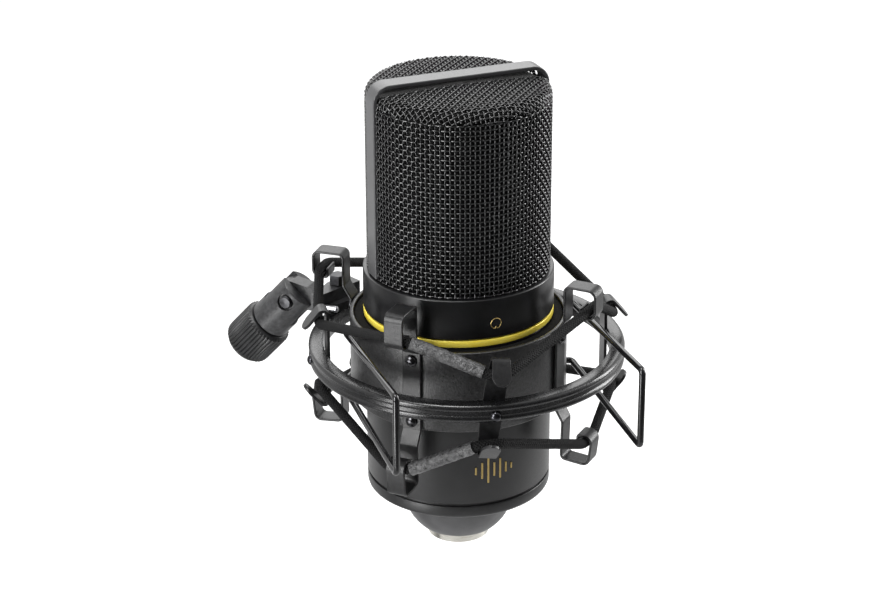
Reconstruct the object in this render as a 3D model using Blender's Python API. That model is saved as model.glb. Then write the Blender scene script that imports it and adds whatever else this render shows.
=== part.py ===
"""A side-address condenser microphone, hung in its spider shock mount.

Each object is one physical piece.  Sizes below are in millimetres and are
turned into metres when a mesh is made.  The model's origin is the centre of
the mouth of the threaded stand socket; +Z is up, along the microphone's
axis, and the microphone's front faces -Y.

A bearing is an angle about the microphone's axis, in degrees, counted from
the front (-Y) towards +X.  Heights are counted from the microphone's lowest
point, the rim of its connector.
"""
import math

import bmesh
import bpy
from mathutils import Matrix, Vector

MM = 0.001
GAP = 0.3                    # clearance left between touching pieces

# ---- microphone ----------------------------------------------------------------------
COLLAR_RADIUS = 28.5         # 57 mm diameter drives every other size
BODY_RADIUS = 27.9
GRILLE_RADIUS = 27.1
GRILLE_SHOULDER = 3.2        # rounding between the grille's side and its top
GRILLE_TOP = 146.0
DOME_RISE = 0.6
SHELL_WALL = 1.4
BASE_BOTTOM = 18.2
BODY_BOTTOM = 23.1
GOLD_BOTTOM = 74.6
COLLAR_BOTTOM = 77.0
COLLAR_TOP = 89.3
FRAME_TOP = 148.7            # top of the flat frame bar over the grille
FRAME_RADIUS = 27.5
FRAME_WIDTH = 6.3
FRAME_THICK = 1.2
CONNECTOR_RADIUS = 9.5       # a three-pin studio connector, 19 mm outside
CAPSULE_HEIGHT = 120.0
CAPSULE_RADIUS = 16.5

# ---- cradle (rides on the microphone's axis) -----------------------------------------
CRADLE_MIDDLE = 62.0
BAND_RADIUS = 32.6
BAND_THICK = 1.2
BAND_HALF = 12.7
BAND_GAP_DEG = 18.0
BAND_GAP_BEARING = 178.6
STRAP_WIDTH = 5.9
STRAP_THICK = 0.8
STRAP_RADIUS = 33.3
HOOK_INNER = 35.7
HOOK_OUTER = 45.3
HOOK_LIP = 40.7
LIP_RISE = 3.0
# The straps were bent by hand, so each has its own hooks.  Heights are those of the
# sheet's centre line, counted from CRADLE_MIDDLE: bearing, upper hook's top and seat,
# lower hook's seat and bottom, and how far the lower hook stands out.
STRAPS = {
    "front_left": (-46.4, 28.2, 18.0, -18.5, -29.0, 0.0),
    "front_right": (41.5, 27.4, 18.6, -19.5, -28.7, 0.0),
    "rear_right": (128.0, 27.8, 19.7, -20.4, -29.2, 0.5),
    "rear_left": (-130.0, 26.5, 18.6, -19.0, -29.5, 1.4),
}
RIVET_OFFSET = 9.7
RIVET_RADIUS = 1.0
RIVET_HEAD = 1.8

# ---- squeeze handles -----------------------------------------------------------------
HANDLE_BEARING = -4.2        # both handles point this way
HANDLE_WIRE = 1.0
HANDLES = {                  # how far the wire runs out sideways, then forwards
    "handle_left": (-1, 35.2, 51.4),
    "handle_right": (1, 36.5, 56.6),
}
HANDLE_PIVOT = 33.2
HANDLE_HOLE = 9.6            # height of the wire's ends either side of the middle
HANDLE_SPREAD = 12.0         # half height of the finger bar

# ---- outer ring and its brackets -----------------------------------------------------
RING_MIDDLE = 63.3
RING_SHIFT = 3.2             # the ring's centre lies off the microphone's axis
RING_SHIFT_BEARING = 28.0
RING_RADIUS = 47.5
RING_INNER = 43.0
RING_HALF = 2.8
RING_RIVET_DROP = 0.9        # the brackets' rivets sit a little below the ring's middle
RING_RIVET_HEIGHT = 1.6
BRACKET_THICK = 0.9
BRACKET_RADIUS = 42.1
BRACKET_HALF = 17.9          # where the lines of the strip and its tongue would meet
BEND_RADIUS = 1.5
BEND_REACH = 4.1             # how far the bend takes up the strip's straight part
TONGUE_WIDTH = 5.3
TONGUE_TIP = 49.3
TONGUE_DROP = 8.6
# Bearing, lean to the side in degrees, height above the ring's middle, and the heights
# of the upper and the lower cord that the bracket holds, counted like the microphone's.
BRACKETS = {
    "front": (-12.4, -7.5, 0.0, 74.4, 52.4),
    "right": (77.6, 0.0, -3.0, 71.9, 48.7),
    "rear": (167.6, 0.0, -2.5, 72.4, 49.3),
    "left": (-102.4, 0.0, 0.3, 75.0, 53.6),
}

# ---- elastic cords -------------------------------------------------------------------
CORD_RADIUS = 1.5
CORD_HOOK_RADIUS = 43.0
CORD_ON_SEAT = 2.2           # from the centre line of a hook's seat to the cord's middle
CORD_RING_RADIUS = 44.5
HOOK_GUIDE = 3.5             # half lengths of the straight runs at hook and bracket
BRACKET_GUIDE = 2.7
SLEEVE_INNER = 1.8
SLEEVE_OUTER = 2.15
SLEEVE_START = 0.8           # the sleeve's ends, from those of the straight runs
SLEEVE_END = 2.0

# ---- swivel and stand adapter --------------------------------------------------------
ARM_BEARING = -136.4
PIVOT_RADIUS = 58.0
PIVOT_HEIGHT = 69.6
STAND_TILT = 48.0            # the adapter points outwards and down by this much
YOKE_RADIUS = 6.5
YOKE_START = -4.0            # distances along the adapter's axis, from the pivot
YOKE_END = 13.1
SLOT_END = 7.2
TONGUE_THICK = 5.0
ARM_ROUND = 5.6
NUT_RADIUS = 7.9
NUT_START = 13.4
NUT_END = 26.8
NUT_RIBS = 40
THREAD_RADIUS = 4.76         # 3/8 inch stand thread


# ---- basic helpers -------------------------------------------------------------------
def clear_scene():
    for item in list(bpy.data.objects):
        bpy.data.objects.remove(item, do_unlink=True)


def material(name, colour, roughness, metallic=0.0):
    mat = bpy.data.materials.new(name)
    mat.use_nodes = True
    shader = mat.node_tree.nodes["Principled BSDF"]
    shader.inputs["Base Color"].default_value = (*colour, 1.0)
    shader.inputs["Roughness"].default_value = roughness
    shader.inputs["Metallic"].default_value = metallic
    mat.diffuse_color = (*colour, 1.0)
    return mat


def empty(name, parent=None, place=(0, 0, 0), turn=(0, 0, 0)):
    item = bpy.data.objects.new(name, None)
    bpy.context.collection.objects.link(item)
    item.parent = parent
    item.location = Vector(place) * MM
    item.rotation_euler = [math.radians(a) for a in turn]
    return item


def heading(bearing):
    """Rotation about Z that turns local +X to a bearing."""
    return bearing - 90.0


def toward(bearing, distance=1.0):
    angle = math.radians(bearing)
    return Vector((distance * math.sin(angle), -distance * math.cos(angle), 0.0))


def put(name, mesh, mat, parent=None, place=(0, 0, 0), turn=(0, 0, 0)):
    mesh.materials.clear()
    mesh.materials.append(mat)
    item = bpy.data.objects.new(name, mesh)
    bpy.context.collection.objects.link(item)
    item.parent = parent
    item.location = Vector(place) * MM
    item.rotation_euler = [math.radians(a) for a in turn]
    return item


def finish_mesh(name, bm, smooth=True):
    bmesh.ops.remove_doubles(bm, verts=bm.verts, dist=1e-7)
    bmesh.ops.recalc_face_normals(bm, faces=bm.faces)
    mesh = bpy.data.meshes.new(name)
    bm.to_mesh(mesh)
    bm.free()
    if smooth:
        mesh.shade_smooth()
        mesh.set_sharp_from_angle(angle=math.radians(35))
    return mesh


def skin_rows(bm, rows, closed_rows, closed_loop):
    """Join rows of vertices (each a loop around the section) with quads."""
    count = len(rows)
    last = count if closed_rows else count - 1
    for i in range(last):
        here, there = rows[i], rows[(i + 1) % count]
        size = len(here)
        for j in range(size if closed_loop else size - 1):
            k = (j + 1) % size
            corners = [here[j], here[k], there[k], there[j]]
            bm.faces.new(corners)


def revolve(name, outline, segments, start=0.0, sweep=360.0, smooth=True):
    """A solid turned about Z from a closed outline of (radius, height) points."""
    bm = bmesh.new()
    whole = sweep >= 360.0
    stops = segments if whole else segments + 1
    rows = []
    for i in range(stops):
        angle = math.radians(start + sweep * i / segments)
        ray = Vector((math.sin(angle), -math.cos(angle), 0.0))
        rows.append([bm.verts.new((ray * r + Vector((0, 0, z))) * MM) for r, z in outline])
    skin_rows(bm, rows, whole, True)
    if not whole:
        bm.faces.new(rows[0])
        bm.faces.new(rows[-1])
    return finish_mesh(name, bm, smooth)


def turned(name, outline, segments, smooth=True):
    """A solid of revolution whose outline starts and ends on the axis."""
    bm = bmesh.new()
    rows = []
    inner = outline[1:-1]
    first = bm.verts.new(Vector((0, 0, outline[0][1])) * MM)
    last = bm.verts.new(Vector((0, 0, outline[-1][1])) * MM)
    for i in range(segments):
        angle = 2 * math.pi * i / segments
        ray = Vector((math.cos(angle), math.sin(angle), 0.0))
        rows.append([bm.verts.new((ray * r + Vector((0, 0, z))) * MM) for r, z in inner])
    skin_rows(bm, rows, True, False)
    for i in range(segments):
        here, there = rows[i], rows[(i + 1) % segments]
        bm.faces.new([first, here[0], there[0]])
        bm.faces.new([last, there[-1], here[-1]])
    return finish_mesh(name, bm, smooth)


def arc(centre, radius, start, end, steps):
    """Points on an arc in the outline's plane; angles in degrees."""
    points = []
    for i in range(steps + 1):
        angle = math.radians(start + (end - start) * i / steps)
        points.append((centre[0] + radius * math.cos(angle), centre[1] + radius * math.sin(angle)))
    return points


def rounded(points, radii, steps=4):
    """A path through points whose inner corners are rounded; radius 0 keeps a corner."""
    path = [Vector(points[0])]
    for i, radius in enumerate(radii, start=1):
        before, corner, after = (Vector(points[k]) for k in (i - 1, i, i + 1))
        if not radius:
            path.append(corner)
            continue
        inward, outward = (before - corner).normalized(), (after - corner).normalized()
        angle = inward.angle(outward)
        reach = radius / math.tan(angle / 2)
        start, end = corner + inward * reach, corner + outward * reach
        middle = corner + (inward + outward).normalized() * (radius / math.sin(angle / 2))
        for step in range(steps + 1):
            ray = (start - middle).normalized().slerp((end - middle).normalized(), step / steps)
            path.append(middle + ray * radius)
    path.append(Vector(points[-1]))
    return path


def ribbon(name, path, width, thick):
    """A bent sheet strip: path in local XZ, width along local Y."""
    bm = bmesh.new()
    rows = []
    for i, point in enumerate(path):
        along = (path[min(i + 1, len(path) - 1)] - path[max(i - 1, 0)]).normalized()
        side = Vector((-along.z, 0.0, along.x)) * (thick / 2)
        half = Vector((0.0, width(i) / 2, 0.0))
        corners = [point + side + half, point - side + half, point - side - half, point + side - half]
        rows.append([bm.verts.new(c * MM) for c in corners])
    skin_rows(bm, rows, False, True)
    bm.faces.new(rows[0])
    bm.faces.new(rows[-1])
    return finish_mesh(name, bm)


def box(name, low, high):
    bm = bmesh.new()
    bmesh.ops.create_cube(bm, size=1.0)
    low, high = Vector(low), Vector(high)
    for vert in bm.verts:
        vert.co = Vector([low[k] + (vert.co[k] + 0.5) * (high[k] - low[k]) for k in range(3)]) * MM
    return finish_mesh(name, bm, smooth=False)


def rod_mesh(name, radius, length, segments):
    """A plain round bar along +Z from 0."""
    return turned(name, [(0, 0), (radius, 0), (radius, length), (0, length)], segments)


def cutter(name, mesh, parent, place=(0, 0, 0), turn=(0, 0, 0)):
    item = put(name, mesh, CUT_MATERIAL, parent, place, turn)
    item.hide_render = True
    item.display_type = 'WIRE'
    return item


def boolean(item, other, operation='DIFFERENCE'):
    modifier = item.modifiers.new(operation.title(), 'BOOLEAN')
    modifier.operation = operation
    modifier.solver = 'EXACT'
    modifier.object = other


def wire(name, points, radius, mat, parent, cyclic=False, sides=2):
    """A round wire or cord through points given in millimetres."""
    curve = bpy.data.curves.new(name, 'CURVE')
    curve.dimensions = '3D'
    curve.bevel_depth = radius * MM
    curve.bevel_resolution = sides
    curve.use_fill_caps = not cyclic
    spline = curve.splines.new('POLY')
    spline.points.add(len(points) - 1)
    for knot, point in zip(spline.points, points):
        knot.co = (*(Vector(point) * MM), 1.0)
    spline.use_cyclic_u = cyclic
    spline.use_smooth = True
    curve.materials.append(mat)
    item = bpy.data.objects.new(name, curve)
    bpy.context.collection.objects.link(item)
    item.parent = parent
    return item


def prism(name, outline, half_width):
    """A plate cut to an outline in local XZ, centred on local Y."""
    bm = bmesh.new()
    rows = []
    for y in (-half_width, half_width):
        rows.append([bm.verts.new(Vector((x, y, z)) * MM) for x, z in outline])
    skin_rows(bm, rows, False, True)
    bm.faces.new(rows[0])
    bm.faces.new(rows[-1])
    return finish_mesh(name, bm)


def plate(name, outline, low, high):
    """A plate cut to an outline in local XY, between two heights."""
    bm = bmesh.new()
    rows = []
    for z in (low, high):
        rows.append([bm.verts.new(Vector((x, y, z)) * MM) for x, y in outline])
    skin_rows(bm, rows, False, True)
    bm.faces.new(rows[0])
    bm.faces.new(rows[-1])
    return finish_mesh(name, bm, smooth=False)


def along_x(mesh):
    """Turn a mesh made along +Z so that it lies along +X."""
    mesh.transform(Matrix.Rotation(math.radians(90), 4, 'Y'))
    return mesh


def along_y(mesh):
    """Turn a mesh made along +Z so that it lies along +Y."""
    mesh.transform(Matrix.Rotation(math.radians(-90), 4, 'X'))
    return mesh


def soften(points, reach, cyclic, steps=2):
    """Round the corners of a path of 3-D points with short curves."""
    count = len(points)
    path = []
    for i, corner in enumerate(points):
        if not cyclic and i in (0, count - 1):
            path.append(corner)
            continue
        before, after = points[i - 1], points[(i + 1) % count]
        start = corner + (before - corner).normalized() * reach
        end = corner + (after - corner).normalized() * reach
        for step in range(steps + 1):
            t = step / steps
            path.append(start * (1 - t) ** 2 + corner * (2 * t * (1 - t)) + end * t * t)
    return path


def rivet_mesh(name, grip, head, head_height, tail=0.0):
    """A domed rivet: its head stands on z = 0 and its shank goes down."""
    outline = [(0.0, -grip), (RIVET_RADIUS, -grip)]
    if tail:
        outline = [(0.0, -grip - tail), (head * 0.7, -grip - tail),
                   (head * 0.85, -grip), (RIVET_RADIUS, -grip)]
    outline += [(RIVET_RADIUS, 0.0), (head, 0.0), (head, head_height * 0.35)]
    outline += [(head * 0.72, head_height * 0.8), (0.0, head_height)]
    return turned(name, outline, 10)


# ---- microphone ----------------------------------------------------------------------
ROUND = 44                   # segments round the microphone


def tube_outline(inner, outer, bottom, top, chamfer=0.3):
    return [(inner, bottom), (outer - chamfer, bottom), (outer, bottom + chamfer),
            (outer, top - chamfer), (outer - chamfer, top), (inner, top)]


def dome_shell(name, radius, bottom, top, shoulder, wall, segments):
    """A thin round shell, open below, with a rounded shoulder and a low dome."""
    centre = (radius - shoulder, top - shoulder)
    outline = [(0.0, top + DOME_RISE - wall)]
    outline += arc(centre, shoulder - wall, 90, 0, 4)
    outline += [(radius - wall, bottom), (radius, bottom)]
    outline += arc(centre, shoulder, 0, 90, 4)
    outline += [(0.0, top + DOME_RISE)]
    return turned(name, outline, segments)


def build_grille(mic):
    steel = material("grille_black", (0.02, 0.02, 0.022), 0.45, 0.6)
    foot = COLLAR_TOP + GAP
    slot = FRAME_WIDTH / 2 + GAP
    for name, side in (("grille_front", -1), ("grille_rear", 1)):
        shell = dome_shell(name, GRILLE_RADIUS, foot, GRILLE_TOP, GRILLE_SHOULDER, 0.8, 40)
        half = put(name, shell, steel, mic)
        low, high = sorted((slot * side, -40.0 * side))
        keep_out = box(name + "_cut", (-40.0, low, foot - 5), (40.0, high, GRILLE_TOP + 10))
        boolean(half, cutter(name + "_cut", keep_out, mic))
    screen = material("screen_black", (0.012, 0.012, 0.013), 0.6, 0.5)
    inner = dome_shell("inner_screen", 25.9, foot, GRILLE_TOP - 1.2, GRILLE_SHOULDER - 1, 0.5, 24)
    put("inner_screen", inner, screen, mic)
    bar = material("frame_black", (0.03, 0.03, 0.032), 0.42, 0.2)
    leg = FRAME_RADIUS - FRAME_THICK / 2
    top = FRAME_TOP - FRAME_THICK / 2
    corners = [Vector(p) for p in ((-leg, 0, foot), (-leg, 0, top), (leg, 0, top), (leg, 0, foot))]
    path = rounded(corners, [4.6, 4.6], 6)
    put("grille_frame", ribbon("grille_frame", path, lambda i: FRAME_WIDTH, FRAME_THICK), bar, mic)


def build_body(mic):
    black = material("body_black", (0.018, 0.018, 0.02), 0.38, 0.1)
    gold = material("gold", (0.83, 0.62, 0.2), 0.2, 1.0)
    collar = tube_outline(25.5, COLLAR_RADIUS, COLLAR_BOTTOM, COLLAR_TOP)
    put("collar", revolve("collar", collar, ROUND), black, mic)
    ring = tube_outline(26.4, COLLAR_RADIUS, GOLD_BOTTOM, COLLAR_BOTTOM - GAP, 0.2)
    put("gold_ring", revolve("gold_ring", ring, ROUND), gold, mic)
    tube = tube_outline(BODY_RADIUS - SHELL_WALL, BODY_RADIUS, BODY_BOTTOM, GOLD_BOTTOM - GAP)
    put("body_tube", revolve("body_tube", tube, ROUND), black, mic)
    base = [(18.6, BASE_BOTTOM), (26.7, BASE_BOTTOM), (27.6, BASE_BOTTOM + 0.5),
            (BODY_RADIUS, BASE_BOTTOM + 1.4), (BODY_RADIUS, BODY_BOTTOM - 1.1),
            (BODY_RADIUS - 0.2, BODY_BOTTOM - 0.9),
            (27.2, BODY_BOTTOM - 0.9), (27.2, BODY_BOTTOM - GAP), (18.6, BODY_BOTTOM - GAP)]
    put("base_ring", revolve("base_ring", base, ROUND), black, mic)


def build_connector(mic):
    grey = material("connector_grey", (0.16, 0.16, 0.17), 0.35, 0.3)
    silver = material("connector_silver", (0.72, 0.72, 0.74), 0.25, 1.0)
    plastic = material("insert_black", (0.02, 0.02, 0.02), 0.5)
    housing = [(9.8, 3.2), (10.9, 3.2), (11.9, 3.6), (13.7, 5.4), (15.6, 8.4), (17.2, 12.8),
               (18.3, 17.5), (18.3, 22.0), (9.8, 22.0)]
    put("connector_housing", revolve("connector_housing", housing, 32), grey, mic)
    shell = tube_outline(8.4, CONNECTOR_RADIUS, 0.0, 20.0, 0.25)
    put("xlr_shell", revolve("xlr_shell", shell, 28), silver, mic)
    insert = [(0.0, 13.0), (8.1, 13.0), (8.1, 19.5), (0.0, 19.5)]
    put("xlr_insert", turned("xlr_insert", insert, 20), plastic, mic)
    for index, angle in enumerate((-60.0, 60.0, 180.0), start=1):
        pin = [(0.0, 2.4), (0.7, 2.4), (1.2, 3.2), (1.2, 13.0 - GAP), (0.0, 13.0 - GAP)]
        name = f"xlr_pin_{index}"
        put(name, turned(name, pin, 10), silver, mic, toward(angle, 4.0))


def build_inside(mic):
    steel = material("chassis_steel", (0.55, 0.55, 0.57), 0.4, 1.0)
    green = material("board_green", (0.02, 0.16, 0.07), 0.45)
    gold = material("diaphragm_gold", (0.9, 0.7, 0.3), 0.25, 1.0)
    brass = material("capsule_brass", (0.5, 0.38, 0.18), 0.35, 1.0)
    film = material("capacitor_yellow", (0.6, 0.4, 0.05), 0.4)
    low, high = 24.0, 80.0
    frame = put("chassis", box("chassis", (-24, -3, low), (24, 3, high)), steel, mic)
    window = box("chassis_cut", (-20, -5, low + 3), (20, 5, high - 3))
    boolean(frame, cutter("chassis_cut", window, mic))
    put("circuit_board", box("circuit_board", (-17, 3.3, 30), (17, 4.9, 74)), green, mic)
    put("capacitor", box("capacitor", (-7, 5.2, 44), (7, 12, 58)), film, mic)
    deck = [(0.0, 81.5), (25.2, 81.5), (25.2, 84.0), (0.0, 84.0)]
    put("capsule_deck", turned("capsule_deck", deck, 24), steel, mic)
    seat = CAPSULE_HEIGHT - CAPSULE_RADIUS - GAP
    post = [(0.0, 84.3), (9.0, 84.3), (9.0, 86.3), (4.0, 88.5), (4.0, seat), (0.0, seat)]
    put("capsule_post", turned("capsule_post", post, 14), steel, mic)
    disc = [(0.0, -4.5), (CAPSULE_RADIUS - 0.5, -4.5), (CAPSULE_RADIUS, -4.0), (CAPSULE_RADIUS, 4.0),
            (CAPSULE_RADIUS - 0.5, 4.5), (0.0, 4.5)]
    put("capsule", along_y(turned("capsule", disc, 24)), brass, mic, (0, 0, CAPSULE_HEIGHT))
    film_disc = [(0.0, 0.0), (13.0, 0.0), (13.0, 0.4), (0.0, 0.4)]
    place = (0, -4.5 - GAP - 0.4, CAPSULE_HEIGHT)
    put("diaphragm", along_y(turned("diaphragm", film_disc, 20)), gold, mic, place)


# ---- cradle --------------------------------------------------------------------------
def strap_path(side):
    """Centre line of a strap in its own radial plane: a hook at each end."""
    _, top, seat, low_seat, bottom, lean = STRAPS[side]
    inner, outer, lip = HOOK_INNER + lean, HOOK_OUTER + lean, HOOK_LIP + lean   # lower hook
    corners = [(HOOK_LIP, seat + LIP_RISE), (HOOK_LIP, seat), (HOOK_OUTER, seat),
               (HOOK_OUTER, top), (HOOK_INNER, top), (HOOK_INNER, 16.4), (STRAP_RADIUS, 12.4),
               (STRAP_RADIUS, -12.4), (inner, -16.4), (inner - 0.3, bottom + 0.3),
               (outer - 1.1, bottom - 0.3), (outer, low_seat), (lip, low_seat),
               (lip, low_seat - LIP_RISE)]
    bends = [0.8, 2.2, 2.0, 1.6, 1.2, 1.2]
    return rounded([Vector((r, 0, z)) for r, z in corners], bends + bends[::-1], 2)


def build_straps(cradle):
    black = material("strap_black", (0.05, 0.05, 0.055), 0.5, 0.3)
    bright = material("rivet_steel", (0.3, 0.3, 0.32), 0.25, 1.0)
    cutters = []
    grip = 2.6
    for side in STRAPS:
        bearing = STRAPS[side][0]
        turn = (0, 0, heading(bearing))
        path = strap_path(side)
        mesh = ribbon("strap_" + side, path, lambda i: STRAP_WIDTH, STRAP_THICK)
        strap = put("strap_" + side, mesh, black, cradle, turn=turn)
        for level, height in (("upper", RIVET_OFFSET), ("lower", -RIVET_OFFSET)):
            name = f"rivet_{side}_{level}"
            out = (0, 90, heading(bearing))
            hole = rod_mesh(name + "_hole", RIVET_RADIUS + GAP, 5.5, 8)
            place = toward(bearing, 30.0) + Vector((0, 0, height))
            hole_cutter = cutter(name + "_hole", hole, cradle, place, out)
            boolean(strap, hole_cutter)
            cutters.append(hole_cutter)
            seat = toward(bearing, STRAP_RADIUS + STRAP_THICK / 2 + GAP) + Vector((0, 0, height))
            put(name, rivet_mesh(name, grip, RIVET_HEAD, 1.1), bright, cradle, seat, out)
    return cutters


def build_band(cradle, cutters):
    black = material("band_black", (0.035, 0.035, 0.038), 0.55, 0.3)
    foam_black = material("foam_black", (0.008, 0.008, 0.008), 0.9)
    start = BAND_GAP_BEARING + BAND_GAP_DEG / 2
    sweep = 360.0 - BAND_GAP_DEG
    outline = tube_outline(BAND_RADIUS - BAND_THICK, BAND_RADIUS, -BAND_HALF, BAND_HALF, 0.25)
    band = put("cradle_band", revolve("cradle_band", outline, 48, start, sweep), black, cradle)
    for hole in cutters:
        boolean(band, hole)
    for side in (-1, 1):
        bearing = HANDLE_BEARING + 90.0 * side
        for height in (HANDLE_HOLE, -HANDLE_HOLE):
            name = "handle_hole_" + ("left" if side < 0 else "right")
            hole = rod_mesh(name, HANDLE_WIRE + 0.5, 4.0, 10)
            place = toward(bearing, 30.2) + Vector((0, 0, height))
            boolean(band, cutter(name, hole, cradle, place, (0, 90, heading(bearing))))
    foam = tube_outline(BODY_RADIUS + GAP, BAND_RADIUS - BAND_THICK - GAP, -11.9, 11.9, 0.5)
    put("foam_liner", revolve("foam_liner", foam, 36, start + 1, sweep - 2), foam_black, cradle)


def build_handles(cradle):
    gloss = material("handle_black", (0.02, 0.02, 0.022), 0.15, 0.4)
    for name, (side, sideways, forwards) in HANDLES.items():
        bearing = HANDLE_BEARING + 90.0 * side
        pivot = empty(name + "_pivot", cradle, toward(bearing, HANDLE_PIVOT), (0, 0, heading(bearing)))
        inside = BAND_RADIUS - 0.9 - HANDLE_PIVOT
        out = sideways - HANDLE_PIVOT
        reach = -side * forwards
        half = [Vector((inside, 0, HANDLE_HOLE)), Vector((out, 0, HANDLE_HOLE)),
                Vector((out, reach, HANDLE_SPREAD))]
        points = half + [Vector((p.x, p.y, -p.z)) for p in reversed(half)]
        wire(name, soften(points, 1.7, False, 3), HANDLE_WIRE, gloss, pivot)


# ---- outer ring ----------------------------------------------------------------------
def ring_outline():
    """The ring's section: flat above, with two ridges and a groove outside."""
    ridge = RING_HALF / 2 + 0.2
    outline = [(RING_INNER, -RING_HALF + 0.5), (RING_INNER + 0.5, -RING_HALF)]
    outline += arc((RING_RADIUS - 1.1, -ridge), 1.1, -90, 60, 3)
    outline += arc((RING_RADIUS - 1.1, ridge), 1.1, -60, 90, 3)
    outline += [(RING_INNER + 0.5, RING_HALF), (RING_INNER, RING_HALF - 0.5)]
    return outline


def bracket_path():
    """Centre line of a ring bracket: a tongue folded outwards at each end."""
    points = [(TONGUE_TIP, BRACKET_HALF - TONGUE_DROP), (BRACKET_RADIUS, BRACKET_HALF),
              (BRACKET_RADIUS, 6.0), (BRACKET_RADIUS, -6.0),
              (BRACKET_RADIUS, -BRACKET_HALF), (TONGUE_TIP, -BRACKET_HALF + TONGUE_DROP)]
    bent = rounded([Vector((r, 0, z)) for r, z in points], [BEND_RADIUS, 0, 0, BEND_RADIUS], 3)
    first, last = bent[0], bent[-1]
    tip, tail = (bent[1] - first).normalized(), (bent[-2] - last).normalized()
    steps = (0.25, 0.8, 1.6, TONGUE_WIDTH / 2)
    return [first] + [first + tip * d for d in steps] + bent[1:-1] + \
           [last + tail * d for d in reversed(steps)] + [last]


def bracket_width(path):
    """Widest at the ring, narrower at the tongues, with round ends."""
    round_end = TONGUE_WIDTH / 2

    def width(i):
        reach = min((path[i] - path[0]).length, (path[i] - path[-1]).length)
        if reach < round_end:
            return max(2 * math.sqrt(round_end ** 2 - (round_end - reach) ** 2), 0.8)
        straight = BRACKET_HALF - BEND_REACH
        share = max(0.0, (straight - abs(path[i].z)) / straight)
        return TONGUE_WIDTH + 2.0 * share
    return width


def build_ring(ring):
    black = material("ring_black", (0.06, 0.06, 0.065), 0.45, 0.3)
    strip = material("bracket_black", (0.05, 0.05, 0.055), 0.5, 0.3)
    dark = material("ring_rivet_dark", (0.1, 0.1, 0.11), 0.25, 0.9)
    outer = put("outer_ring", revolve("outer_ring", ring_outline(), 52), black, ring)
    groove = RING_RADIUS - 1.1
    grip = groove + GAP - (BRACKET_RADIUS - BRACKET_THICK / 2 - GAP)
    for side, (bearing, lean, lift, _, _) in BRACKETS.items():
        out = (0, 90, heading(bearing))
        path = bracket_path()
        mesh = ribbon("bracket_" + side, path, bracket_width(path), BRACKET_THICK)
        turn = (lean, 0, heading(bearing))
        bracket = put("bracket_" + side, mesh, strip, ring, (0, 0, lift), turn)
        hole = rod_mesh("ring_hole", RIVET_RADIUS + GAP, 10.0, 8)
        low = Vector((0, 0, -RING_RIVET_DROP))
        hole_cutter = cutter("ring_hole_" + side, hole, ring, toward(bearing, 39.5) + low, out)
        boolean(bracket, hole_cutter)
        boolean(outer, hole_cutter)
        recess = rod_mesh("ring_recess", 1.6 + GAP, 4.0, 10)
        place = toward(bearing, groove) + low
        boolean(outer, cutter("ring_recess_" + side, recess, ring, place, out))
        name = "ring_rivet_" + side
        rivet = rivet_mesh(name, grip, 1.6, RING_RIVET_HEIGHT, 1.0)
        put(name, rivet, dark, ring, place + toward(bearing, GAP), out)


# ---- elastic cords -------------------------------------------------------------------
CORD_ORDER = ("front_right", "rear_right", "rear_left", "front_left")


def ring_centre():
    return toward(RING_SHIFT_BEARING, RING_SHIFT)


def straight_run(bearing, centre, radius, height, half, aside=0.0):
    """The ends of a short run along the circle's tangent."""
    middle = centre + toward(bearing, radius) + toward(bearing + 90.0, aside)
    middle.z = height
    along = toward(bearing + 90.0, half)
    return middle - along, middle + along


def cord_stops(upper):
    """The cord's straight runs, in order round the mount: bracket, hook, bracket..."""
    stops = []
    axis = Vector((0, 0, 0))
    for bracket, strap in zip(BRACKETS.values(), CORD_ORDER):
        bearing, lean, _, high, low = bracket
        height = high if upper else low
        aside = (RING_MIDDLE - height) * math.sin(math.radians(lean))
        stops.append(straight_run(bearing, ring_centre(), CORD_RING_RADIUS, height,
                                  BRACKET_GUIDE, aside))
        bearing, _, seat, low_seat, _, lean = STRAPS[strap]
        height = CRADLE_MIDDLE + (seat + CORD_ON_SEAT if upper else low_seat - CORD_ON_SEAT)
        radius = CORD_HOOK_RADIUS + (0.0 if upper else lean)
        stops.append(straight_run(bearing, axis, radius, height, HOOK_GUIDE))
    return stops


def build_cords(mic):
    black = material("cord_black", (0.012, 0.012, 0.013), 0.8)
    grey = material("sleeve_grey", (0.09, 0.09, 0.095), 0.85)
    for side in ("upper", "lower"):
        stops = cord_stops(side == "upper")
        corners = [point for stop in stops for point in stop]
        wire("elastic_" + side, soften(corners, 1.6, True), CORD_RADIUS, black, mic, cyclic=True)
        start, end = stops[-1][1], stops[0][0]
        span = end - start
        length = span.length - SLEEVE_START - SLEEVE_END
        tube = [(SLEEVE_INNER, 0), (SLEEVE_OUTER, 0), (SLEEVE_OUTER, length), (SLEEVE_INNER, length)]
        sleeve = put("sleeve_" + side, revolve("sleeve_" + side, tube, 16), grey, mic)
        sleeve.location = (start + span.normalized() * SLEEVE_START) * MM
        sleeve.rotation_euler = span.to_track_quat('Z', 'Y').to_euler()


# ---- swivel and stand adapter --------------------------------------------------------
ARM_TOP = 72.8
FLANGE_TOP = 69.0
BOLT_PLACE = Vector((46.6, -7.2, 0.0))      # the hex bolt that holds the arm on the ring
SCREW_PLACE = Vector((42.2, 1.8, 0.0))      # the tip of the screw beside the foot
SCREW_HEIGHT = 68.3
# Corners of the block and of its wider foot seen from above: outwards from the ring's
# centre and along the rim.  Both lie askew to the arm's tongue.
BLOCK = [(47.6, 4.4), (41.4, -11.9), (46.8, -14.2), (49.9, -6.6), (49.9, 4.4)]
FOOT = [(43.4, 0.0), (38.9, -11.0), (41.6, -11.6), (46.6, -13.7), (49.5, -6.4), (49.5, 0.0)]


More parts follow.
